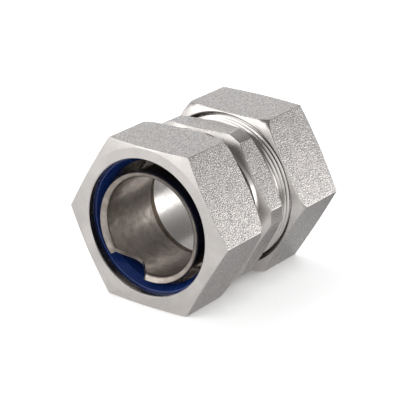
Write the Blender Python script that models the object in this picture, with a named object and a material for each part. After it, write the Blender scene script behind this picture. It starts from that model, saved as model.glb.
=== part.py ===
# Straight coupling that joins a jacketed metal hose to a rigid pipe.
# The axis runs along Y through the origin: the hose enters from -Y, the pipe from +Y.
# It lies on the lower flats of its two nuts, with +Z up. Lengths are in metres, angles in degrees.

import math

import bmesh
import bpy
from mathutils import Vector

# What the coupling takes in: a rigid pipe, and a hose whose lining goes over the ferrule
PIPE_DIAMETER = 0.0337
PIPE_PLAY = 0.00015
HOSE_DIAMETER = 0.0325
HOSE_PLAY = 0.0003
HOSE_LINING = 0.00215

# Thread between the body and both nuts, plain here, and the gap left between seated pieces
THREAD_PITCH = 0.0015
THREAD_GAP = 0.0003
SEAT_GAP = 0.0003

# Body: a hexagon with turned corners between two threaded ends
BODY_WALL = 0.0030
BODY_HOSE_PLAY = 0.00075
BODY_FLAT_STAND = 0.00035
BODY_LAND_STAND = 0.00245
BODY_HEX_WIDTH = 0.0076
BODY_HEX_SLOPE = 27.0
BODY_HEX_TURN = 1.7
BODY_THREAD_LENGTH = 0.0158
BODY_SHANK_WIDTH = 0.0012
BODY_END_BEVEL = 0.0005
BODY_STOP_STEP = 0.0005
BODY_STOP_STATION = 0.00585
BODY_STOP_THICKNESS = 0.0020
BODY_STOP_EDGE = 0.0003
MOUTH_RIM = 0.0004
MOUTH_DEPTH = 0.0028

# Nuts, the same piece at both ends
NUT_FLAT_WALL = 0.0015
NUT_LENGTH = 0.0178
NUT_OPENING_PLAY = 0.0014
NUT_LIP = 0.0023
NUT_FACE_STEP = 0.00045
NUT_FACE_SLOPE = 12.5
NUT_BACK_STEP = 0.00015
NUT_BACK_SLOPE = 20.0
NUT_BACK_ROUND = 0.0040
NUT_UNDERCUT_WIDTH = 0.0018
NUT_UNDERCUT_DEPTH = 0.0002
NUT_ENTRY_RIM = 0.00015
NUT_ENTRY_DEPTH = 0.0024
NUT_EDGE = 0.00025

# Sealing rings and the slip washer behind the pipe nut
RING_STAND = 0.00365
RING_NOSE_WALL = 0.0005
RING_MOUTH = 0.0012
RING_MOUTH_LENGTH = 0.0024
RING_EDGE = 0.0004
WASHER_THICKNESS = 0.0010
WASHER_EDGE = 0.0002

# Ferrule: a rolled sleeve whose spun lip climbs like a thread from one side of a notch to the other
FERRULE_WALL = 0.0008
FERRULE_TIP_DEPTH = 0.0001
FERRULE_LIP_REACH = 0.0009
FERRULE_LIP_ANGLE = 63.0
FERRULE_BEND = 0.0003
FERRULE_LEAD = 0.0016
FERRULE_FOOT_THICKNESS = 0.0009
FERRULE_FOOT_PLAY = 0.0006
FERRULE_DROP = 0.0003
NOTCH_ANGLE = 245.0
NOTCH_DEPTH = 0.0059
NOTCH_LEFT = 0.0084
NOTCH_RIGHT = 0.0061
NOTCH_OVERCUT = 0.0002

# Fineness of the round surfaces, and how far a cutter reaches past what it cuts
SEGMENTS = 72
BEND_STEPS = 4
ROUND_STEPS = 4
NOTCH_STEPS = 9
SHARP_ANGLE = 25.0
SEAM_MARGIN = 0.1
CUT_MARGIN = 0.002

# Radii that follow from the sizes above; the two shares are those of a metric thread
FLANK_TO_CREST = 0.3248
CREST_TO_CORE = 0.5413
hose_bore_radius = HOSE_DIAMETER / 2 + BODY_HOSE_PLAY
pipe_bore_radius = PIPE_DIAMETER / 2 + PIPE_PLAY
thread_radius = max(hose_bore_radius, pipe_bore_radius) + BODY_WALL
pitch_radius = thread_radius - FLANK_TO_CREST * THREAD_PITCH
body_thread_radius = pitch_radius - THREAD_GAP / 2
nut_thread_radius = pitch_radius + THREAD_GAP / 2
nut_seat_radius = thread_radius - CREST_TO_CORE * THREAD_PITCH
nut_opening_radius = max(HOSE_DIAMETER, PIPE_DIAMETER) / 2 + NUT_OPENING_PLAY
nut_flat_radius = thread_radius + NUT_FLAT_WALL
body_flat_radius = thread_radius + BODY_FLAT_STAND
mouth_radius = body_thread_radius - BODY_END_BEVEL - MOUTH_RIM
ring_radius = nut_seat_radius - SEAT_GAP
ferrule_outside = HOSE_DIAMETER / 2 - HOSE_LINING
ferrule_inside = ferrule_outside - FERRULE_WALL
lip_radius = ferrule_outside + FERRULE_LIP_REACH

# Stations along the axis, counted from the middle of the body
hex_half = BODY_HEX_WIDTH / 2
body_end = hex_half + BODY_THREAD_LENGTH
ring_front = body_end + SEAT_GAP + RING_STAND
nut_front = ring_front + SEAT_GAP + NUT_LIP
stop_front = -BODY_STOP_STATION
stop_back = stop_front + BODY_STOP_THICKNESS
ferrule_foot = stop_front - SEAT_GAP
ferrule_length = ferrule_foot + nut_front - FERRULE_TIP_DEPTH


def rise(radial, slope):
    # axial length of a cone that grows by a radial amount at a slope from its face
    return radial * math.tan(math.radians(slope))


def metal(name, colour, roughness, metallic):
    material = bpy.data.materials.new(name)
    material.use_nodes = True
    shader = material.node_tree.nodes["Principled BSDF"]
    shader.inputs["Base Color"].default_value = (*colour, 1.0)
    shader.inputs["Roughness"].default_value = roughness
    shader.inputs["Metallic"].default_value = metallic
    return material


def turned_mesh(name, section, start_angle=0.0):
    # one closed section of (radius, station) points, swept once round the Y axis
    bm = bmesh.new()
    angle = math.radians(start_angle)
    around = Vector((math.cos(angle), 0.0, math.sin(angle)))
    corners = [bm.verts.new(around * radius + Vector((0.0, station, 0.0))) for radius, station in section]
    outline = [bm.edges.new((a, b)) for a, b in zip(corners, corners[1:] + corners[:1])]
    bmesh.ops.spin(bm, geom=corners + outline, cent=(0, 0, 0), axis=(0, -1, 0), dvec=(0, 0, 0),
                   angle=math.tau, steps=SEGMENTS, use_merge=True)
    bmesh.ops.recalc_face_normals(bm, faces=bm.faces)
    mesh = bpy.data.meshes.new(name)
    bm.to_mesh(mesh)
    bm.free()
    mesh.shade_smooth()
    mesh.set_sharp_from_angle(angle=math.radians(SHARP_ANGLE))
    return mesh


def place(name, mesh, material, station, drop=0.0, half_turn=False):
    piece = bpy.data.objects.new(name, mesh)
    piece.location = (0.0, station, -drop)
    piece.rotation_euler = (0.0, 0.0, math.pi if half_turn else 0.0)
    piece.parent = axis_empty
    if not mesh.materials:
        mesh.materials.append(material)
    bpy.context.scene.collection.objects.link(piece)
    return piece


def cutter(name, mesh):
    tool = bpy.data.objects.new(name, mesh)
    tool.parent = axis_empty
    tool.hide_render = True
    tool.display_type = "WIRE"
    bpy.context.scene.collection.objects.link(tool)
    return tool


def prism_mesh(name, outline, sweep):
    # a flat outline of points, extruded along one vector
    bm = bmesh.new()
    face = bm.faces.new([bm.verts.new(point) for point in outline])
    swept = bmesh.ops.extrude_face_region(bm, geom=[face])
    moved = [item for item in swept["geom"] if isinstance(item, bmesh.types.BMVert)]
    bmesh.ops.translate(bm, verts=moved, vec=sweep)
    bmesh.ops.recalc_face_normals(bm, faces=bm.faces)
    mesh = bpy.data.meshes.new(name)
    bm.to_mesh(mesh)
    bm.free()
    return mesh


def hex_bar(name, flat_radius, turn=0.0):
    # six-sided bar along Y with two flats level, a little longer than the whole coupling
    corner_radius = flat_radius / math.cos(math.radians(30))
    length = 2 * (nut_front + CUT_MARGIN)
    outline = []
    for corner in range(6):
        angle = math.radians(60 * corner + turn)
        across, up = corner_radius * math.cos(angle), corner_radius * math.sin(angle)
        outline.append(Vector((across, -length / 2, up)))
    return cutter(name, prism_mesh(name, outline, Vector((0.0, length, 0.0))))


def cut(piece, tool, operation):
    step = piece.modifiers.new(tool.name, "BOOLEAN")
    step.operation = operation
    step.solver = "EXACT"
    step.object = tool


def nut_section():
    # stations run from the outer face into the nut; the corners' back ends are turned to a round
    reach = nut_flat_radius / math.cos(math.radians(30)) + NUT_EDGE
    face = nut_flat_radius - NUT_FACE_STEP
    back = nut_flat_radius - NUT_BACK_STEP
    opening = nut_opening_radius
    seat_end = NUT_LIP + RING_STAND
    undercut = thread_radius + NUT_UNDERCUT_DEPTH
    undercut_end = seat_end + NUT_UNDERCUT_WIDTH
    sweep = math.radians(90 - NUT_BACK_SLOPE)
    round_start = NUT_LENGTH - rise(reach - back, NUT_BACK_SLOPE) - NUT_BACK_ROUND * math.tan(sweep / 2)
    centre = reach - NUT_BACK_ROUND
    turns = [sweep * step / ROUND_STEPS for step in range(ROUND_STEPS + 1)]
    back_round = [(centre + NUT_BACK_ROUND * math.cos(turn), round_start + NUT_BACK_ROUND * math.sin(turn))
                  for turn in turns]
    outside = [
        (opening, NUT_EDGE), (opening + NUT_EDGE, 0.0), (face, 0.0),
        (reach, rise(reach - face, NUT_FACE_SLOPE))]
    inside = [
        (back, NUT_LENGTH), (back - NUT_ENTRY_RIM, NUT_LENGTH),
        (nut_thread_radius, NUT_LENGTH - NUT_ENTRY_DEPTH),
        (nut_thread_radius, undercut_end + undercut - nut_thread_radius), (undercut, undercut_end),
        (undercut, seat_end), (nut_seat_radius, seat_end), (nut_seat_radius, NUT_LIP), (opening, NUT_LIP)]
    return outside + back_round + inside


def body_section():
    # the outside from the hose end to the pipe end, then the bore back again
    face = thread_radius
    land = thread_radius + BODY_LAND_STAND
    land_half = hex_half - rise(land - face, BODY_HEX_SLOPE)
    shank_end = hex_half + BODY_SHANK_WIDTH
    bevel_foot = body_thread_radius - BODY_END_BEVEL
    stop = ferrule_inside + BODY_STOP_STEP
    pipe_half = [
        (land, land_half), (face, hex_half), (face, shank_end), (body_thread_radius, shank_end),
        (body_thread_radius, body_end - BODY_END_BEVEL), (bevel_foot, body_end), (mouth_radius, body_end)]
    hose_half = [(radius, -station) for radius, station in reversed(pipe_half)]
    bore = [
        (pipe_bore_radius, body_end - MOUTH_DEPTH), (pipe_bore_radius, stop_back),
        (stop + BODY_STOP_EDGE, stop_back), (stop, stop_back - BODY_STOP_EDGE), (stop, stop_front),
        (hose_bore_radius, stop_front), (hose_bore_radius, MOUTH_DEPTH - body_end)]
    return hose_half + pipe_half + bore


def ring_section(bore, mouth_bore, stand):
    # stations run inward; the nose follows the body's mouth with the seat gap all along it
    mouth_slope = math.atan2(mouth_radius - mouth_bore, MOUTH_DEPTH)
    nose_back = mouth_radius - SEAT_GAP / math.cos(mouth_slope)
    nose_root = nose_back + SEAT_GAP * math.tan(mouth_slope)
    nose_tip = bore + RING_NOSE_WALL
    length = stand + (nose_root - nose_tip) / math.tan(mouth_slope)
    return [
        (bore, RING_MOUTH_LENGTH), (bore + RING_MOUTH, 0.0), (ring_radius - RING_EDGE, 0.0),
        (ring_radius, RING_EDGE), (ring_radius, stand), (nose_root, stand),
        (nose_tip, length), (bore, length)]


def washer_section():
    bore = pipe_bore_radius
    return [
        (bore, WASHER_EDGE), (bore + WASHER_EDGE, 0.0), (ring_radius - WASHER_EDGE, 0.0),
        (ring_radius, WASHER_EDGE), (ring_radius, WASHER_THICKNESS), (bore, WASHER_THICKNESS)]


def ferrule_section():
    # stations run from the foot, at zero, towards the hose; the lip is bent outwards round its bend radius
    foot = hose_bore_radius - FERRULE_FOOT_PLAY
    bend = math.radians(FERRULE_LIP_ANGLE)
    centre = ferrule_outside + FERRULE_BEND
    front_end = lip_radius - FERRULE_WALL * math.cos(bend)
    straight = front_end - centre + (FERRULE_BEND + FERRULE_WALL) * math.cos(bend)
    lip_depth = (FERRULE_BEND + FERRULE_WALL) * math.sin(bend) + straight / math.tan(bend)
    bend_station = lip_depth - ferrule_length
    turns = [bend * step / BEND_STEPS for step in range(BEND_STEPS + 1)]

    def arc(radius):
        return [(centre - radius * math.cos(turn), bend_station - radius * math.sin(turn))
                for turn in turns]

    front = (front_end, -ferrule_length)
    back = (lip_radius, FERRULE_WALL * math.sin(bend) - ferrule_length)
    foot_face = -FERRULE_FOOT_THICKNESS
    inner_side = [(ferrule_inside, 0.0)] + arc(FERRULE_BEND + FERRULE_WALL) + [front]
    outer_side = [back] + arc(FERRULE_BEND)[::-1] + [(ferrule_outside, foot_face)]
    return inner_side + outer_side + [(foot, foot_face), (foot, 0.0)]


def climb_lip(mesh):
    # the lip falls back by one lead in a full turn, so its two ends meet the notch at different depths
    for vertex in mesh.vertices:
        if vertex.co.y < -ferrule_length / 2:
            angle = math.degrees(math.atan2(vertex.co.z, vertex.co.x))
            turn = (angle - NOTCH_ANGLE + SEAM_MARGIN) % 360 / 360
            vertex.co.y += FERRULE_LEAD * (1 - turn)


def notch_cutter():
    # each flank is half a cosine wave from the lip to the bottom of the notch
    tip = ferrule_foot - ferrule_length
    angle = math.radians(NOTCH_ANGLE)
    outward = Vector((math.cos(angle), 0.0, math.sin(angle)))
    sideways = Vector((-math.sin(angle), 0.0, math.cos(angle)))
    along = Vector((0.0, 1.0, 0.0))
    radius = (ferrule_inside + ferrule_outside) / 2
    start = outward * radius / 2
    sweep = outward * (lip_radius + CUT_MARGIN - radius / 2)

    def lip_level(offset):
        turn = math.asin(offset / radius) / math.tau
        return FERRULE_LEAD * (1 - turn % 1)

    outline = []
    for step in range(-NOTCH_STEPS, NOTCH_STEPS + 1):
        reach = NOTCH_LEFT if step < 0 else NOTCH_RIGHT
        level = lip_level(math.copysign(reach, step)) - NOTCH_OVERCUT
        share = step / NOTCH_STEPS
        height = level + (NOTCH_DEPTH - level) * math.cos(share * math.pi / 2) ** 2
        outline.append((reach * share, height))
    outline += [(NOTCH_RIGHT, -FERRULE_LEAD), (-NOTCH_LEFT, -FERRULE_LEAD)]
    points = [start + sideways * u + along * (tip + v) for u, v in outline]
    tool = cutter("notch_cutter", prism_mesh("notch_cutter", points, sweep))
    tool.location = (0.0, 0.0, -FERRULE_DROP)
    return tool


for old in list(bpy.data.objects):
    bpy.data.objects.remove(old)

axis_empty = bpy.data.objects.new("coupling_axis", None)
bpy.context.scene.collection.objects.link(axis_empty)

steel = metal("stainless_steel", (0.72, 0.70, 0.68), 0.32, 1.0)
nut_steel = metal("tumbled_stainless_steel", (0.70, 0.69, 0.67), 0.40, 1.0)
sleeve_steel = metal("rolled_stainless_steel", (0.58, 0.54, 0.51), 0.35, 1.0)
washer_steel = metal("washer_steel", (0.62, 0.61, 0.60), 0.38, 1.0)
blue_nylon = metal("blue_nylon", (0.006, 0.022, 0.11), 0.28, 0.0)
blue_seal = metal("blue_seal", (0.008, 0.026, 0.12), 0.35, 0.0)

# Body
body = place("body", turned_mesh("body", body_section()), steel, 0.0)
cut(body, hex_bar("body_hex_bar", body_flat_radius, BODY_HEX_TURN), "INTERSECT")

# Nuts
nut_hex_bar = hex_bar("nut_hex_bar", nut_flat_radius)
nut_mesh = turned_mesh("nut", nut_section())
hose_nut = place("hose_nut", nut_mesh, nut_steel, -nut_front)
pipe_nut = place("pipe_nut", nut_mesh, nut_steel, nut_front, half_turn=True)
cut(hose_nut, nut_hex_bar, "INTERSECT")
cut(pipe_nut, nut_hex_bar, "INTERSECT")

# Hose side: the sealing ring and the ferrule, which lies at the bottom of its seat
hose_ring = ring_section(HOSE_DIAMETER / 2 + HOSE_PLAY, hose_bore_radius, RING_STAND)
place("hose_seal_ring", turned_mesh("hose_seal_ring", hose_ring), blue_nylon, -ring_front)
ferrule_mesh = turned_mesh("ferrule", ferrule_section(), NOTCH_ANGLE)
climb_lip(ferrule_mesh)
ferrule = place("ferrule", ferrule_mesh, sleeve_steel, ferrule_foot, drop=FERRULE_DROP)
cut(ferrule, notch_cutter(), "DIFFERENCE")

# Pipe side: the slip washer and the sealing ring
pipe_stand = RING_STAND - WASHER_THICKNESS - SEAT_GAP
pipe_ring = ring_section(pipe_bore_radius, pipe_bore_radius, pipe_stand)
place("slip_washer", turned_mesh("slip_washer", washer_section()), washer_steel, ring_front, half_turn=True)
place("pipe_seal_ring", turned_mesh("pipe_seal_ring", pipe_ring), blue_seal,
      body_end + SEAT_GAP + pipe_stand, half_turn=True)
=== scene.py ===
# Pipe to hose coupling in stainless steel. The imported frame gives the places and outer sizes; this
# script makes the threads, the broken edges and the finishes, and lights it on a white floor.
# Lengths are in metres and angles in degrees. The axis is Y, and the hose end faces -Y.

import math

import bmesh
import bpy
from mathutils import Matrix, Quaternion, Vector


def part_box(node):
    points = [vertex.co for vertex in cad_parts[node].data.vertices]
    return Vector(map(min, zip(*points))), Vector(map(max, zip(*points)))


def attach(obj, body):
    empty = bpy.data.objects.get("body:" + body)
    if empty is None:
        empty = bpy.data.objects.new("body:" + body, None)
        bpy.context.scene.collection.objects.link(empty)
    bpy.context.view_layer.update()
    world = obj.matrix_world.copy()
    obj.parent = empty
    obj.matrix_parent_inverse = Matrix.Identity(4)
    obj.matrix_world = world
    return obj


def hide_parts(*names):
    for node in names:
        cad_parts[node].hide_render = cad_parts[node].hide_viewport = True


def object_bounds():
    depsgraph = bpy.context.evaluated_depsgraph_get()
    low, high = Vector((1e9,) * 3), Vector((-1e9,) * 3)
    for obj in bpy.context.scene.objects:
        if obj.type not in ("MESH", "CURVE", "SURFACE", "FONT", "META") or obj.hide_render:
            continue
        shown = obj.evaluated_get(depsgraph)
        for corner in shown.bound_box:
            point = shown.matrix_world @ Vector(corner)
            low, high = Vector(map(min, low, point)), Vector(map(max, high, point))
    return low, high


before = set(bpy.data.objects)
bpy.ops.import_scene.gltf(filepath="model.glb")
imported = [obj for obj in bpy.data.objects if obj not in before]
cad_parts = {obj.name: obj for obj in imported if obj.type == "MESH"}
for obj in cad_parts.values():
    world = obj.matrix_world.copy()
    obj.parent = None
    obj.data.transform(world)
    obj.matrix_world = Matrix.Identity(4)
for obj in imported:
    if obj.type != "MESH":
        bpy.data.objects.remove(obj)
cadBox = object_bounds()
print("frame loaded:", len(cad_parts), "nodes")

nutLow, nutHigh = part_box("hose_nut")
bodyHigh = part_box("body")[1]
ringLow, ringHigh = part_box("hose_seal_ring")
ferruleLow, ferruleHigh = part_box("ferrule")
washerLow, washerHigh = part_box("slip_washer")
sealLow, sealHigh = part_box("pipe_seal_ring")

columns = 144          # facets round a turned surface
axisY = (0.0, 1.0, 0.0)
halfTurn = Matrix.Rotation(math.pi, 4, "Z")   # carries the hose end's shapes to the pipe end
hexReach = 1 / math.cos(math.radians(30))     # from a hexagon's flat to its corner

# Places of the finishes in the material lists of the body and the nuts
turnedPlace, flatPlace, threadPlace, stopShadePlace = range(4)

# Each end's groove reaches its full depth up to a station and an angle, as seen before the half turn
thread = {
    "crestRadius": 0.0200,
    "pitch": 0.0015,
    "pitchLine": 0.019513,
    "outerCore": 0.01908,       # bottom of the body's groove
    "nutCrest": 0.019188,       # bore left between the nut's grooves
    "nutRoot": 0.02006,
    "flankAngle": 30.0,
    "play": 0.00003,            # gap on each flank
    "skim": 0.00002,            # the tool leaves the flank just past the crest
    "clear": 0.0003,            # and goes this far beyond it
    "runOut": 0.25,             # share of a turn in which the groove rises out
    "runOutCurve": 1.5,         # above 1 it rises slowly at first
    "ends": {"hose": {"stop": -0.00586, "angle": 58.0}, "pipe": {"stop": -0.00447, "angle": 170.0}},
}


def addPiece(name, bm, materials):
    mesh = bpy.data.meshes.new(name)
    bm.to_mesh(mesh)
    bm.free()
    for material in materials:
        mesh.materials.append(material)
    piece = bpy.data.objects.new(name, mesh)
    bpy.context.scene.collection.objects.link(piece)
    return piece


def turnSection(section, startAngle=0.0, outline=None, firstRow=0):
    # one closed section of (radius, station) points, spun once round the Y axis; where an outline is
    # given, its rows then follow the hexagon
    bm = bmesh.new()
    rowLayer = bm.verts.layers.int.new("row")
    start = math.radians(startAngle)
    outward = Vector((math.cos(start), 0.0, math.sin(start)))
    points = [bm.verts.new(outward * radius + Vector((0.0, station, 0.0))) for radius, station in section]
    for row, point in enumerate(points):
        point[rowLayer] = row
    edges = [bm.edges.new(pair) for pair in zip(points, points[1:] + points[:1])]
    bmesh.ops.spin(bm, geom=points + edges, cent=(0, 0, 0), axis=axisY, dvec=(0, 0, 0),
                   angle=math.tau, steps=columns, use_merge=True)
    if outline:
        for vertex in bm.verts:
            angle = math.atan2(vertex.co.z, vertex.co.x)
            rows = outline(1 / math.cos(math.radians((math.degrees(angle) - startAngle) % 60 - 30)))
            row = vertex[rowLayer] - firstRow
            if 0 <= row < len(rows):
                radius, station = rows[row]
                vertex.co = (radius * math.cos(angle), station, radius * math.sin(angle))
    bm.verts.layers.int.remove(rowLayer)
    bmesh.ops.recalc_face_normals(bm, faces=bm.faces)
    return bm


softShare = 0.4     # an edge break takes at most this share of a narrow place in an outline


def roundOff(before, corner, after, steps=3):
    # a corner of an outline, replaced by a curve between the points on its two sides
    points = []
    for step in range(steps + 1):
        share = step / steps
        points.append(tuple((1 - share) ** 2 * a + 2 * share * (1 - share) * b + share ** 2 * c
                            for a, b, c in zip(before, corner, after)))
    return points


def breakEdges(bm, width, sharperThan=10.0, shortest=0.0, segments=2):
    # outer edges that are at least the shortest length along the axis are bevelled
    bmesh.ops.recalc_face_normals(bm, faces=bm.faces)
    sharp = []
    for edge in bm.edges:
        along = abs(edge.verts[0].co.y - edge.verts[1].co.y)
        if edge.calc_face_angle_signed(0.0) > math.radians(sharperThan) and along >= shortest:
            sharp.append(edge)
    bmesh.ops.bevel(bm, geom=sharp, offset=width, offset_type="OFFSET", segments=segments, profile=0.5,
                    affect="EDGES", material=-1, clamp_overlap=True)


flatLimits = {"depth": 0.00001, "slope": 0.01, "lean": 2.0}     # how far off a face of a flat may be


def markFlats(bm, flatRadius, turn):
    # the milled flats are the outer faces that lie along the axis and square to a flat's direction
    for face in bm.faces:
        centre = face.calc_center_median()
        lean = (math.degrees(math.atan2(face.normal.z, face.normal.x)) - turn) % 60 - 30
        outside = math.hypot(centre.x, centre.z) > flatRadius - flatLimits["depth"]
        straight = abs(face.normal.y) < flatLimits["slope"] and abs(lean) < flatLimits["lean"]
        face.material_index = flatPlace if outside and straight else turnedPlace


def threadTool(tip, shoulder, start, turns, runOut=0.0):
    # the tool's section leaves the flanks of the thread and is swept along a right-hand helix; in the
    # run-out it moves away from the metal
    side = 1 if shoulder > tip else -1      # 1 cuts from outside and -1 from inside
    flank = math.tan(math.radians(thread["flankAngle"]))

    def half(radius):
        # half the groove's width at a radius
        return thread["pitch"] / 4 + thread["play"] + side * (radius - thread["pitchLine"]) * flank

    edge = shoulder + side * thread["skim"]
    outer = edge + side * thread["clear"]
    section = [
        (tip, -half(tip)), (edge, -half(edge)), (outer, -half(edge)),
        (outer, half(edge)), (edge, half(edge)), (tip, half(tip))]
    bm = bmesh.new()
    face = bm.faces.new([bm.verts.new((radius, start + offset, 0.0)) for radius, offset in section])
    steps = round(columns * (turns + runOut))
    bmesh.ops.spin(bm, geom=[face], cent=(0, 0, 0), axis=axisY, angle=math.tau * steps / columns,
                   dvec=(0, thread["pitch"] / columns, 0), steps=steps)
    if runOut:
        bm.verts.ensure_lookup_table()
        for index, vertex in enumerate(bm.verts):
            share = (index // len(section) / columns - turns) / runOut
            if share > 0:
                radius = math.hypot(vertex.co.x, vertex.co.z)
                lift = 1 + side * share ** thread["runOutCurve"] * abs(shoulder - tip) / radius
                vertex.co.x *= lift
                vertex.co.z *= lift
    bmesh.ops.recalc_face_normals(bm, faces=bm.faces)
    return bm


def cutAway(piece, toolMesh, place=0):
    # the cut faces take the finish at this place of the piece's list
    tool = addPiece(piece.name + "Tool", toolMesh, piece.data.materials)
    for face in tool.data.polygons:
        face.material_index = place
    step = piece.modifiers.new("cut", "BOOLEAN")
    step.operation = "DIFFERENCE"
    step.solver = "EXACT"
    step.object = tool
    shaped = piece.evaluated_get(bpy.context.evaluated_depsgraph_get())
    cutMesh = bpy.data.meshes.new_from_object(shaped)
    piece.modifiers.clear()
    piece.data = cutMesh
    bpy.data.objects.remove(tool)


def finishPiece(piece, body, node, sharpAngle=38.0):
    piece.data.shade_smooth()
    piece.data.set_sharp_from_angle(angle=math.radians(sharpAngle))
    weighted = piece.modifiers.new("evenShading", "WEIGHTED_NORMAL")
    weighted.keep_sharp = True
    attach(piece, body)
    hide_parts(node)
    print("made", piece.name, len(piece.data.polygons), "faces")


# Materials. Every pattern is in metres, from the object coordinates

def newMaterial(name, metallic):
    material = bpy.data.materials.new(name)
    material.use_nodes = True
    tree = material.node_tree
    shader = tree.nodes["Principled BSDF"]
    shader.inputs["Metallic"].default_value = metallic
    coords = tree.nodes.new("ShaderNodeTexCoord").outputs["Object"]
    return material, tree, shader, coords


def addNode(tree, kind, output, settings=None, **inputs):
    # sockets are given by name without spaces, as values or as links
    node = tree.nodes.new("ShaderNode" + kind)
    for name, value in (settings or {}).items():
        setattr(node, name, value)
    for socket in node.inputs:
        value = inputs.get(socket.identifier.replace(" ", ""))
        if isinstance(value, bpy.types.NodeSocket):
            tree.links.new(value, socket)
        elif value is not None:
            socket.default_value = value
    return node.outputs[output]


def addNoise(tree, coords, size, detail=2.0, roughness=0.5):
    # noise whose patches are about this size
    return addNode(tree, "TexNoise", "Fac", Vector=coords, Scale=1 / size, Detail=detail,
                   Roughness=roughness)


def addRange(tree, value, low, high, toLow, toHigh):
    return addNode(tree, "MapRange", "Result", Value=value, FromMin=low, FromMax=high,
                   ToMin=toLow, ToMax=toHigh)


def addBlend(tree, share, first, second):
    # a colour between two others
    return addNode(tree, "Mix", 2, {"data_type": "RGBA"}, Factor_Float=share, A_Color=(*first, 1),
                   B_Color=(*second, 1))


def addBump(tree, height, depth, normal=None):
    return addNode(tree, "Bump", "Normal", Height=height, Distance=depth, Strength=1.0, Normal=normal)


def addRadius(tree, coords):
    flat = addNode(tree, "VectorMath", "Vector", {"operation": "MULTIPLY"}, Vector=coords,
                   Vector_001=(1, 0, 1))
    return addNode(tree, "VectorMath", "Value", {"operation": "LENGTH"}, Vector=flat)


def addTurning(tree, coords):
    # (radius, station, 0): a pattern on it runs round the axis like the marks of a lathe
    station = addNode(tree, "SeparateXYZ", "Y", Vector=coords)
    return addNode(tree, "CombineXYZ", "Vector", X=addRadius(tree, coords), Y=station)


noiseSpan = (0.3, 0.7)      # most of a noise lies between these levels


def addDrift(tree, shader, noise, finish):
    # colour and roughness drift with a noise, from the dark end to the light end
    share = addRange(tree, noise, *noiseSpan, 0, 1)
    colour = addBlend(tree, share, finish["dark"], finish["light"])
    tree.links.new(colour, shader.inputs["Base Color"])
    tree.links.new(addRange(tree, noise, *noiseSpan, *finish["roughness"]), shader.inputs["Roughness"])


# In each finish the colours are followed by the roughness at the dark and at the light end

turning = {
    "dark": (0.60, 0.572, 0.552), "light": (0.70, 0.667, 0.643), "roughness": (0.32, 0.20),
    "groove": 0.00014, "grooveDepth": 0.000005, "streak": 0.005,
    "anisotropy": 0.5, "anisotropyTurn": 0.25,
}


def makeTurnedSteel():
    # fine lathe marks round the axis, with slightly duller and brighter places along them
    material, tree, shader, coords = newMaterial("turnedSteel", 1.0)
    addDrift(tree, shader, addNoise(tree, coords, turning["streak"], 3.0), turning)
    groove = addNoise(tree, addTurning(tree, coords), turning["groove"], 3.0, 0.6)
    tree.links.new(addBump(tree, groove, turning["grooveDepth"]), shader.inputs["Normal"])
    around = addNode(tree, "VectorMath", "Vector", {"operation": "CROSS_PRODUCT"}, Vector=coords,
                     Vector_001=axisY)
    tree.links.new(around, shader.inputs["Tangent"])
    shader.inputs["Anisotropic"].default_value = turning["anisotropy"]
    shader.inputs["Anisotropic Rotation"].default_value = turning["anisotropyTurn"]
    return material


tumbling = {
    "dark": (0.33, 0.322, 0.319), "light": (0.62, 0.587, 0.565), "roughness": (0.17, 0.30),
    "speckle": 0.00027, "speckleDepth": 0.000085, "fine": 0.00025, "fineDepth": 0.000010,
    "cloud": 0.0035,
    "cloudShare": 0.3,              # of the clouds in the colour, beside the speckle
    "colourSpan": (0.53, 0.77),     # levels of the two together at the dark and the light end
}


def makeTumbledSteel():
    # milled flats that were tumbled: small dents that glitter, in faint lighter and greyer clouds
    material, tree, shader, coords = newMaterial("tumbledSteel", 1.0)
    speckle = addNoise(tree, coords, tumbling["speckle"], 0.6)
    cloud = addNoise(tree, coords, tumbling["cloud"], 3.0, 0.6)
    fine = addNoise(tree, coords, tumbling["fine"], 1.0)
    spots = addNode(tree, "Math", "Value", {"operation": "MULTIPLY_ADD"}, Value=cloud,
                    Value_001=tumbling["cloudShare"], Value_002=speckle)
    share = addRange(tree, spots, *tumbling["colourSpan"], 0, 1)
    colour = addBlend(tree, share, tumbling["dark"], tumbling["light"])
    tree.links.new(colour, shader.inputs["Base Color"])
    tree.links.new(addRange(tree, cloud, *noiseSpan, *tumbling["roughness"]), shader.inputs["Roughness"])
    dents = addBump(tree, speckle, tumbling["speckleDepth"])
    tree.links.new(addBump(tree, fine, tumbling["fineDepth"], dents), shader.inputs["Normal"])
    return material


threading = {
    "dark": (0.34, 0.32, 0.305), "light": (0.86, 0.832, 0.81), "roughness": (0.14, 0.24),
    "mark": 0.0004 / 3, "markDepth": 0.000005, "wear": 0.0016,
    "wearShare": 0.3,               # of the wear in the colour, beside the painted shade by height in the groove
    "heightShades": (0.15, 0.85),   # painted shade at the bottom and painted light at the crest
}


def makeThreadSteel():
    # cut grooves with painted shade, darker towards the bottom and lighter at the crest, with faint marks
    # of the tool along them
    material, tree, shader, coords = newMaterial("threadSteel", 1.0)
    wear = addNoise(tree, coords, threading["wear"], 3.0)
    # painted shade and highlight: the colour darkens with depth in the groove and lightens at the crest
    height = addRange(tree, addRadius(tree, coords), thread["outerCore"], thread["crestRadius"],
                      *threading["heightShades"])
    shade = addNode(tree, "Math", "Value", {"operation": "MULTIPLY_ADD", "use_clamp": True},
                    Value=wear, Value_001=threading["wearShare"], Value_002=height)
    colour = addBlend(tree, shade, threading["dark"], threading["light"])
    tree.links.new(colour, shader.inputs["Base Color"])
    tree.links.new(addRange(tree, wear, *noiseSpan, *threading["roughness"]), shader.inputs["Roughness"])
    mark = addNoise(tree, addTurning(tree, coords), threading["mark"], 2.0)
    tree.links.new(addBump(tree, mark, threading["markDepth"]), shader.inputs["Normal"])
    return material


# painted shade for the inner stop, dark brown with patches
stopShading = {
    "dark": (0.10, 0.075, 0.055), "light": (0.20, 0.16, 0.125), "roughness": (0.35, 0.50),
    "stain": 0.0012, "mark": 0.0002, "markDepth": 0.000006,
}


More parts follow.
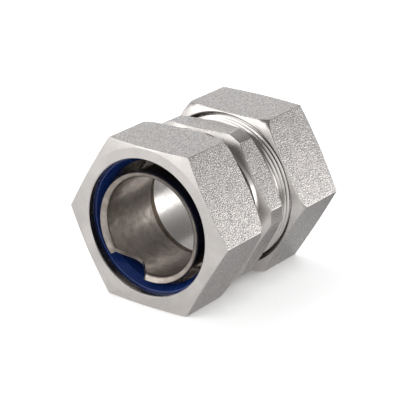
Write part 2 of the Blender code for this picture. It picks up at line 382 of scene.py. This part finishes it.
def makeStopShadeSteel():
    # the inner stop, left dull and painted dark brown as the shade deep inside the body
    material, tree, shader, coords = newMaterial("stopShadeSteel", 1.0)
    addDrift(tree, shader, addNoise(tree, coords, stopShading["stain"], 3.0), stopShading)
    mark = addNoise(tree, addTurning(tree, coords), stopShading["mark"], 2.0)
    tree.links.new(addBump(tree, mark, stopShading["markDepth"]), shader.inputs["Normal"])
    return material


rolling = {
    "dark": (0.28, 0.245, 0.215), "light": (0.45, 0.405, 0.365), "roughness": (0.42, 0.26),
    "mottle": 0.0022, "streak": 0.0002, "streakDepth": 0.000005,
}


def makeSleeveSteel():
    # rolled and spun sheet: warm, mottled, with streaks round the sleeve
    material, tree, shader, coords = newMaterial("sleeveSteel", 1.0)
    addDrift(tree, shader, addNoise(tree, coords, rolling["mottle"], 4.0, 0.6), rolling)
    streak = addNoise(tree, addTurning(tree, coords), rolling["streak"], 2.0)
    tree.links.new(addBump(tree, streak, rolling["streakDepth"]), shader.inputs["Normal"])
    return material


stamping = {
    "dark": (0.48, 0.47, 0.46), "light": (0.60, 0.59, 0.58), "roughness": (0.28, 0.40),
    "dull": 0.0036, "scratch": 0.0003, "scratchDepth": 0.000006,
}


def makeWasherSteel():
    # stamped washer with fine scratches and a few duller places
    material, tree, shader, coords = newMaterial("washerSteel", 1.0)
    addDrift(tree, shader, addNoise(tree, coords, stamping["dull"], 2.0), stamping)
    scratch = addNoise(tree, coords, stamping["scratch"], 4.0, 0.7)
    tree.links.new(addBump(tree, scratch, stamping["scratchDepth"]), shader.inputs["Normal"])
    return material


moulding = {
    "blueNylon": {
        "dark": (0.009, 0.030, 0.155), "light": (0.014, 0.046, 0.23), "roughness": (0.20, 0.30)},
    "blueSeal": {
        "dark": (0.005, 0.018, 0.10), "light": (0.008, 0.028, 0.13), "roughness": (0.40, 0.55)},
    "skin": 0.00035, "skinDepth": 0.000006, "flow": 0.004,
}


def makeMoulded(name):
    # a moulded skin with fine orange peel, and faint flow marks in the blue
    material, tree, shader, coords = newMaterial(name, 0.0)
    addDrift(tree, shader, addNoise(tree, coords, moulding["flow"], 3.0), moulding[name])
    skin = addNoise(tree, coords, moulding["skin"], 2.0)
    tree.links.new(addBump(tree, skin, moulding["skinDepth"]), shader.inputs["Normal"])
    return material


turnedSteel = makeTurnedSteel()
tumbledSteel = makeTumbledSteel()
threadSteel = makeThreadSteel()
stopShadeSteel = makeStopShadeSteel()
sleeveSteel = makeSleeveSteel()
washerSteel = makeWasherSteel()
blueNylon = makeMoulded("blueNylon")
blueSeal = makeMoulded("blueSeal")
print("materials made")


# Nuts

nut = {
    "front": nutLow.y,
    "back": nutHigh.y,
    "flatRadius": nutHigh.z,
    "faceStep": 0.00045,        # the flat annulus ends this far inside the flats
    "faceSlope": 12.5,
    "backStep": 0.00015,        # and the back face this far
    "backSlope": 20.0,
    "backRound": 0.0024,        # rounds the corners over into the shallow cone
    "backReach": 0.02490,
    "backRows": 11,
    "opening": 0.01825,
    "openingEdge": 0.00025,
    "lip": 0.0023,              # thickness of the lip that holds the ring
    "seatDepth": 0.00365,       # room for the ring behind it
    "undercutWidth": 0.0018,
    "undercutRadius": 0.0202,
    "entryRim": 0.00015,
    "entrySlope": 32.7,         # from the axis
    "edgeBreak": 0.00014,
    "cornerLength": 0.010,      # edges this long are the hexagon's corners
}


def backStation(radius):
    # the turned back end: a shallow cone, then a round that would end at the back reach
    slope, corner = math.radians(nut["backSlope"]), nut["backRound"]
    rim = nut["flatRadius"] - nut["backStep"]
    centre = nut["backReach"] - corner
    if radius < centre + corner * math.sin(slope):
        return nut["back"] - (radius - rim) * math.tan(slope)
    drop = (nut["backReach"] - rim) * math.tan(slope) + corner * math.tan((math.pi / 2 - slope) / 2)
    return nut["back"] - drop + math.sqrt(corner ** 2 - (radius - centre) ** 2)


def frontStation(radius):
    face = nut["flatRadius"] - nut["faceStep"]
    return nut["front"] + (radius - face) * math.tan(math.radians(nut["faceSlope"]))


def nutOutline(reach):
    # from the front annulus out over the flat to the back rim, where the flats reach this many times
    # their own distance
    flat, rim = nut["flatRadius"] * reach, nut["flatRadius"] - nut["backStep"]
    soft = min(nut["edgeBreak"], softShare * (flat - rim))
    face = nut["flatRadius"] - nut["faceStep"]
    rows = [(face - soft, nut["front"]), (face + soft, frontStation(face + soft))]
    rows += roundOff(
        (flat - soft, frontStation(flat - soft)), (flat, frontStation(flat)),
        (flat, frontStation(flat) + soft))
    rows += roundOff(
        (flat, backStation(flat) - soft), (flat, backStation(flat)),
        (flat - soft, backStation(flat - soft)))
    for row in range(1, nut["backRows"] + 1):
        radius = flat - soft + (rim - flat + soft) * row / nut["backRows"]
        rows.append((radius, backStation(radius)))
    return rows


def makeNut():
    front, back, bore = nut["front"], nut["back"], thread["nutCrest"]
    entry = nut["flatRadius"] - nut["backStep"] - nut["entryRim"]
    entryEnd = back - (entry - bore) / math.tan(math.radians(nut["entrySlope"]))
    undercutStart = front + nut["lip"] + nut["seatDepth"]
    undercutEnd = undercutStart + nut["undercutWidth"]
    before = [(nut["opening"], front + nut["openingEdge"]), (nut["opening"] + nut["openingEdge"], front)]
    inside = [
        (entry, back), (bore, entryEnd),
        (bore, undercutEnd + nut["undercutRadius"] - bore), (nut["undercutRadius"], undercutEnd),
        (nut["undercutRadius"], undercutStart), (bore, undercutStart),
        (bore, front + nut["lip"]), (nut["opening"], front + nut["lip"])]
    section = before + nutOutline(hexReach) + inside
    bm = turnSection(section, 0.0, nutOutline, len(before))
    breakEdges(bm, nut["edgeBreak"], sharperThan=30.0, shortest=nut["cornerLength"], segments=3)
    breakEdges(bm, nut["edgeBreak"] / 2, sharperThan=40.0)
    markFlats(bm, nut["flatRadius"], 0.0)
    return bm


def grooveStart(end, turns):
    # where a groove of whole turns starts, so that it meets its stop at the stated angle
    stop = thread["ends"][end]
    return stop["stop"] - (stop["angle"] / 360 + turns) * thread["pitch"]


def threadNut(piece, end):
    # the groove starts in the undercut and runs out of the back face; its phase leaves the nut's
    # ridges in the middle of the body's grooves
    start = nut["front"] + nut["lip"] + nut["seatDepth"] + nut["undercutWidth"] / 2
    phase = (start - grooveStart(end, 0)) / thread["pitch"] % 1
    start += (0.5 - phase) * thread["pitch"]
    turns = (nut["back"] - start) / thread["pitch"] + 1
    cutAway(piece, threadTool(thread["nutRoot"], thread["nutCrest"], start, turns), threadPlace)


# Body

coupling = {
    "end": bodyHigh.y,
    "landRadius": 0.02245,
    "flatRadius": 0.02035,
    "turn": 1.7,                # the body's hexagon stands a little turned against the nuts
    "hexHalf": 0.0038,
    "hexSlope": 27.0,           # of the bevel beside the hexagon, from its face
    "endBevel": 0.00105,
    "bore": 0.0170,
    "mouthRadius": 0.018463,    # each end's mouth narrows from here to the bore
    "mouthDepth": 0.0028,
    "stopRadius": 0.0138,
    "stopFront": -0.00585,
    "stopBack": -0.00385,
    "stopEdge": 0.0003,
    "tintReach": 0.00003,       # the painted shade covers the stop's inside and no more
    "edgeBreak": 0.00013,
    "cornerLength": 0.004,      # edges this long are the sides of the corner lands
}


def hexagonOutline(reach):
    # over the hexagon from the hose side to the pipe side; its corners are turned down to lands
    top = min(coupling["flatRadius"] * reach, coupling["landRadius"])
    crest, slope = thread["crestRadius"], math.tan(math.radians(coupling["hexSlope"]))
    soft = min(coupling["edgeBreak"], softShare * (top - crest))
    shoulder = coupling["hexHalf"] - (top - crest) * slope
    side = [(crest, coupling["hexHalf"])]
    side += roundOff((top - soft, shoulder + soft * slope), (top, shoulder), (top, shoulder - soft))
    return [(radius, -station) for radius, station in side] + side[::-1]


def makeBody():
    crest, end, bevel = thread["crestRadius"], coupling["end"], coupling["endBevel"]
    pipeEnd = [(crest, end - bevel), (crest - bevel, end), (coupling["mouthRadius"], end)]
    hoseEnd = [(radius, -station) for radius, station in reversed(pipeEnd)]
    bore, stop, stopEdge = coupling["bore"], coupling["stopRadius"], coupling["stopEdge"]
    inside = [
        (bore, end - coupling["mouthDepth"]), (bore, coupling["stopBack"]),
        (stop + stopEdge, coupling["stopBack"]), (stop, coupling["stopBack"] - stopEdge),
        (stop, coupling["stopFront"]), (bore, coupling["stopFront"]),
        (bore, coupling["mouthDepth"] - end)]
    section = hoseEnd + hexagonOutline(hexReach) + pipeEnd + inside
    bm = turnSection(section, coupling["turn"], hexagonOutline, len(hoseEnd))
    breakEdges(bm, coupling["edgeBreak"], sharperThan=20.0, shortest=coupling["cornerLength"], segments=3)
    breakEdges(bm, coupling["edgeBreak"], sharperThan=40.0)
    markFlats(bm, coupling["flatRadius"], coupling["turn"])
    for face in bm.faces:
        centre = face.calc_center_median()
        # painted shade: the stop's inside, deep in the body, takes the dark brown shaded steel
        if math.hypot(centre.x, centre.z) < stop + coupling["tintReach"]:
            face.material_index = stopShadePlace
    return bm


def threadBody(piece):
    # each end's groove starts off the end and rises out beside the hexagon
    for end, stop in thread["ends"].items():
        wholeTurns = math.ceil((coupling["end"] + stop["stop"]) / thread["pitch"]) + 1
        tool = threadTool(thread["outerCore"], thread["crestRadius"], grooveStart(end, wholeTurns),
                          wholeTurns + stop["angle"] / 360, thread["runOut"])
        if end == "pipe":
            bmesh.ops.transform(tool, matrix=halfTurn, verts=tool.verts)
        cutAway(piece, tool, threadPlace)


body = addPiece("couplingBody", makeBody(), [turnedSteel, tumbledSteel, threadSteel, stopShadeSteel])
threadBody(body)
finishPiece(body, "body", "body")

hoseNut = addPiece("hoseNut", makeNut(), [turnedSteel, tumbledSteel, threadSteel])
threadNut(hoseNut, "hose")
finishPiece(hoseNut, "hose_nut", "hose_nut")

pipeNut = addPiece("pipeNut", makeNut(), [turnedSteel, tumbledSteel, threadSteel])
threadNut(pipeNut, "pipe")
pipeNut.data.transform(halfTurn)
finishPiece(pipeNut, "pipe_nut", "pipe_nut")


# Rings and washer

ring = {
    "bore": 0.01655,
    "mouth": 0.0012,
    "mouthLength": 0.0024,
    "stand": 0.00365,           # length outside the body's mouth
    "pipeStand": 0.00235,       # the same at the pipe end, where the washer takes up the rest
    "noseRoot": 0.01834,
    "noseWall": 0.0005,
    "edge": 0.0004,
    "edgeBreak": 0.00012,
}


def makeRing(front, outer, nose, bore, stand):
    # a collar with an entry cone in front, and a tapered nose that points into the body
    section = [
        (bore, front + ring["mouthLength"]), (bore + ring["mouth"], front), (outer - ring["edge"], front),
        (outer, front + ring["edge"]), (outer, front + stand), (ring["noseRoot"], front + stand),
        (bore + ring["noseWall"], nose), (bore, nose)]
    bm = turnSection(section)
    breakEdges(bm, ring["edgeBreak"])
    return bm


hoseRingMesh = makeRing(ringLow.y, ringHigh.z, ringHigh.y, ring["bore"], ring["stand"])
hoseRing = addPiece("hoseSealRing", hoseRingMesh, [blueNylon])
finishPiece(hoseRing, "hose_seal", "hose_seal_ring")

sealRingMesh = makeRing(-sealHigh.y, sealHigh.z, -sealLow.y, coupling["bore"], ring["pipeStand"])
sealRing = addPiece("pipeSealRing", sealRingMesh, [blueSeal])
sealRing.data.transform(halfTurn)
finishPiece(sealRing, "body", "pipe_seal_ring")

washer = {"bore": 0.0170, "edge": 0.0002, "edgeBreak": 0.00005}


def makeWasher():
    # stamped from one side, so its front edges are bevelled
    outer, back, front = washerHigh.z, washerLow.y, washerHigh.y
    section = [
        (washer["bore"], front - washer["edge"]), (washer["bore"] + washer["edge"], front),
        (outer - washer["edge"], front), (outer, front - washer["edge"]), (outer, back),
        (washer["bore"], back)]
    bm = turnSection(section)
    breakEdges(bm, washer["edgeBreak"])
    return bm


slipWasher = addPiece("slipWasher", makeWasher(), [washerSteel])
finishPiece(slipWasher, "slip_washer", "slip_washer")


# Ferrule

ferrule = {
    "inside": 0.0133,
    "wall": 0.0008,
    "lipRadius": 0.01515,
    "lipShift": (-0.00012, -0.0003),    # the lip is spun a little off centre
    "lipAngle": 63.0,                   # and bent outwards by this much
    "bend": 0.0003,
    "bendSteps": 8,
    "lead": 0.0016,                     # the lip climbs this much in one turn
    "foot": 0.0164,
    "footThickness": 0.0009,
    "drop": 0.0003,                     # the sleeve lies loose at the bottom of its bore
    "notchAngle": 245.0,
    "notchDepth": 0.0059,
    "notchLeft": 0.0084,                # reach to each side of the notch's bottom
    "notchRight": 0.0061,
    "notchSteps": 24,
    "overcut": 0.0002,                  # the notch starts this far outside the lip's ends
    "seamMargin": 0.1,                  # keeps the points at the lip's step on one side of it
    "edgeBreak": 0.00014,
}


def makeFerrule():
    # stations run from the foot towards the hose; the lip is bent outwards round its bend radius
    foot, length = ferruleHigh.y, ferruleHigh.y - ferruleLow.y
    inside, outside = ferrule["inside"], ferrule["inside"] + ferrule["wall"]
    bend = math.radians(ferrule["lipAngle"])
    centre = outside + ferrule["bend"]
    lipFront = ferrule["lipRadius"] - ferrule["wall"] * math.cos(bend)
    outerBend = ferrule["bend"] + ferrule["wall"]
    straight = lipFront - centre + outerBend * math.cos(bend)
    bendStation = outerBend * math.sin(bend) + straight / math.tan(bend) - length
    turns = [bend * step / ferrule["bendSteps"] for step in range(ferrule["bendSteps"] + 1)]

    def arc(radius):
        return [(centre - radius * math.cos(turn), bendStation - radius * math.sin(turn))
                for turn in turns]

    footFace = -ferrule["footThickness"]
    lip = [(lipFront, -length), (ferrule["lipRadius"], ferrule["wall"] * math.sin(bend) - length)]
    footRing = [(outside, footFace), (ferrule["foot"], footFace), (ferrule["foot"], 0.0)]
    section = [(inside, 0.0)] + arc(outerBend) + lip + arc(ferrule["bend"])[::-1] + footRing
    bm = turnSection(section, ferrule["notchAngle"])
    breakEdges(bm, ferrule["edgeBreak"], sharperThan=20.0)
    for vertex in bm.verts:
        # the lip falls back by one lead in a full turn from the notch
        if vertex.co.y < -length / 2:
            angle = math.degrees(math.atan2(vertex.co.z, vertex.co.x)) + ferrule["seamMargin"]
            vertex.co.y += ferrule["lead"] * (1 - (angle - ferrule["notchAngle"]) % 360 / 360)
            out = (math.hypot(vertex.co.x, vertex.co.z) - inside) / (ferrule["lipRadius"] - inside)
            vertex.co.x += ferrule["lipShift"][0] * out
            vertex.co.z += ferrule["lipShift"][1] * out
    bmesh.ops.translate(bm, verts=bm.verts, vec=(0, foot, -ferrule["drop"]))
    return bm


def notchTool():
    # each flank is half a cosine wave from the lip down to the bottom of the notch
    angle = math.radians(ferrule["notchAngle"])
    outward = Vector((math.cos(angle), 0.0, math.sin(angle)))
    sideways = Vector((-math.sin(angle), 0.0, math.cos(angle)))
    middle = ferrule["inside"] + ferrule["wall"] / 2
    steps = ferrule["notchSteps"]
    start = outward * middle / 2 + Vector((0.0, ferruleLow.y, -ferrule["drop"]))
    outline = []
    for step in range(-steps, steps + 1):
        reach = ferrule["notchLeft"] if step < 0 else ferrule["notchRight"]
        turn = math.asin(math.copysign(reach, step) / middle) / math.tau
        level = ferrule["lead"] * (1 - turn % 1) - ferrule["overcut"]
        height = level + (ferrule["notchDepth"] - level) * math.cos(step / steps * math.pi / 2) ** 2
        outline.append((reach * step / steps, height))
    outline += [(ferrule["notchRight"], -ferrule["lead"]), (-ferrule["notchLeft"], -ferrule["lead"])]
    bm = bmesh.new()
    face = bm.faces.new([bm.verts.new(start + sideways * u + Vector((0.0, v, 0.0))) for u, v in outline])
    swept = bmesh.ops.extrude_face_region(bm, geom=[face])
    moved = [item for item in swept["geom"] if isinstance(item, bmesh.types.BMVert)]
    bmesh.ops.translate(bm, verts=moved, vec=outward * ferrule["lipRadius"])
    bmesh.ops.recalc_face_normals(bm, faces=bm.faces)
    return bm


sleeve = addPiece("ferruleSleeve", makeFerrule(), [sleeveSteel])
cutAway(sleeve, notchTool())
finishPiece(sleeve, "body", "ferrule")


# Floor, lights and camera

studio = {
    "floorSize": 3.0,
    "floorColour": (0.90, 0.90, 0.90),
    "floorRoughness": 0.6,
    "floorSeen": 0.57,              # glow of the floor for the camera
    "floorMirrored": 0.20,          # and in the steel
    "contactReach": 0.012,          # the glow fades close to the coupling, a painted contact shadow, within this distance
    "contactOpen": 0.52,            # and is full where the floor is this open, outside the painted shadow
    "farSide": (0.58, 0.81, 0.0),   # towards the far floor, painted dark only for the steel's reflections: a painted reflection of shade
    "farSpan": (0.01, 0.08),        # it darkens between these distances
    "farColour": (0.05, 0.05, 0.05),
    "worldLevel": 0.45,             # light from all round
    "horizonLevel": 1.05,           # what the steel mirrors at the horizon
    "overheadLevel": 0.20,          # and overhead, where the room is darker
    "horizonTop": 0.05,             # heights at which the one gives way to the other
    "overheadStart": 0.60,
}


def makeFloor():
    bm = bmesh.new()
    bmesh.ops.create_grid(bm, x_segments=1, y_segments=1, size=studio["floorSize"])
    bmesh.ops.translate(bm, verts=bm.verts, vec=(0, 0, cadBox[0].z))
    material, tree, shader, coords = newMaterial("whiteFloor", 0.0)
    shader.inputs["Roughness"].default_value = studio["floorRoughness"]
    shader.inputs["Emission Color"].default_value = (1, 1, 1, 1)
    rays = tree.nodes.new("ShaderNodeLightPath")
    away = addNode(tree, "VectorMath", "Value", {"operation": "DOT_PRODUCT"}, Vector=coords,
                   Vector_001=studio["farSide"])
    # painted reflection: the floor turns dark towards the far side for glossy rays alone
    far = addNode(tree, "Math", "Value", {"operation": "MULTIPLY"}, Value=rays.outputs["Is Glossy Ray"],
                  Value_001=addRange(tree, away, *studio["farSpan"], 0, 1))
    tree.links.new(addBlend(tree, far, studio["floorColour"], studio["farColour"]),
                   shader.inputs["Base Color"])
    # painted contact shadow: the floor's glow for the camera fades where the coupling hides the floor
    openness = addNode(tree, "AmbientOcclusion", "AO", {"samples": 4}, Distance=studio["contactReach"])
    glowLessPaintedShadow = addRange(tree, openness, 0.0, studio["contactOpen"], 0.0, studio["floorSeen"])
    seen = addNode(tree, "Math", "Value", {"operation": "MULTIPLY"}, Value=rays.outputs["Is Camera Ray"],
                   Value_001=glowLessPaintedShadow)
    glow = addNode(tree, "Math", "Value", {"operation": "MULTIPLY_ADD"},
                   Value=rays.outputs["Is Glossy Ray"], Value_001=studio["floorMirrored"], Value_002=seen)
    tree.links.new(glow, shader.inputs["Emission Strength"])
    floor = addPiece("floor", bm, [material])


def makeWorld():
    world = bpy.data.worlds.new("whiteRoom")
    world.use_nodes = True
    bpy.context.scene.world = world
    tree = world.node_tree
    background = tree.nodes["Background"]
    background.inputs["Color"].default_value = (1, 1, 1, 1)
    direction = tree.nodes.new("ShaderNodeTexCoord").outputs["Generated"]
    height = addNode(tree, "SeparateXYZ", "Z", Vector=direction)
    room = addNode(tree, "MapRange", "Result", {"interpolation_type": "SMOOTHSTEP"}, Value=height,
                   FromMin=studio["horizonTop"], FromMax=studio["overheadStart"],
                   ToMin=studio["horizonLevel"], ToMax=studio["overheadLevel"])
    rays = tree.nodes.new("ShaderNodeLightPath")
    seen = addNode(tree, "Math", "Value", {"operation": "MAXIMUM"}, Value=rays.outputs["Is Camera Ray"],
                   Value_001=rays.outputs["Is Glossy Ray"])
    seen = addNode(tree, "Math", "Value", {"operation": "MAXIMUM"}, Value=seen,
                   Value_001=rays.outputs["Is Transmission Ray"])
    level = addRange(tree, seen, 0.0, 1.0, studio["worldLevel"], room)
    tree.links.new(level, background.inputs["Strength"])


lamps = {
    "leftWall": {"towards": (-0.49, 0.73, 0.48), "distance": 0.8, "size": (0.86, 0.50), "level": 0.40},
    "rightBack": {"towards": (0.69, 0.72, 0.06), "distance": 0.22, "size": (0.10, 0.075), "level": 2.2},
    "frontLeft": {"towards": (-0.43, -0.84, 0.36), "distance": 0.8, "size": (0.85, 0.50), "level": 1.3},
    "leftTop": {"towards": (-0.55, 0.10, 0.83), "distance": 0.8, "size": (0.36, 0.36), "level": 3.4},
}


def addLamp(name, lamp):
    # level is the lamp's brightness as a share of white
    light = bpy.data.lights.new(name, "AREA")
    light.shape = "RECTANGLE"
    light.size, light.size_y = lamp["size"]
    light.energy = lamp["level"] * math.pi * lamp["size"][0] * lamp["size"][1]
    lampObject = bpy.data.objects.new(name, light)
    direction = Vector(lamp["towards"]).normalized()
    lampObject.location = direction * lamp["distance"]
    lampObject.rotation_mode = "QUATERNION"
    lampObject.rotation_quaternion = (-direction).to_track_quat("-Z", "Y")
    bpy.context.scene.collection.objects.link(lampObject)


view = {
    "azimuth": 35.183,
    "elevation": 21.822,
    "distance": 0.52358,
    "target": (-0.00171, 0.0, -0.00102),
    "roll": 0.941,
    "focalPixels": 1992.35,
    "imagePixels": 400,
    "sensorWidth": 36.0,        # in millimetres
    "clip": (0.01, 10.0),
}


def addCamera():
    camera = bpy.data.cameras.new("camera")
    camera.sensor_width = view["sensorWidth"]
    camera.lens = view["focalPixels"] / view["imagePixels"] * camera.sensor_width
    camera.clip_start, camera.clip_end = view["clip"]
    cameraObject = bpy.data.objects.new("camera", camera)
    azimuth, elevation = math.radians(view["azimuth"]), math.radians(view["elevation"])
    back = Vector((math.sin(azimuth) * math.cos(elevation), -math.cos(azimuth) * math.cos(elevation),
                   math.sin(elevation)))
    cameraObject.location = Vector(view["target"]) + back * view["distance"]
    cameraObject.rotation_mode = "QUATERNION"
    roll = Quaternion((0, 0, 1), math.radians(view["roll"]))
    cameraObject.rotation_quaternion = (-back).to_track_quat("-Z", "Y") @ roll
    bpy.context.scene.collection.objects.link(cameraObject)
    bpy.context.scene.camera = cameraObject


makeFloor()
makeWorld()
for lampName, lamp in lamps.items():
    addLamp(lampName, lamp)
addCamera()
bpy.context.scene.view_settings.view_transform = "Standard"
print("stage, lamps and camera set")
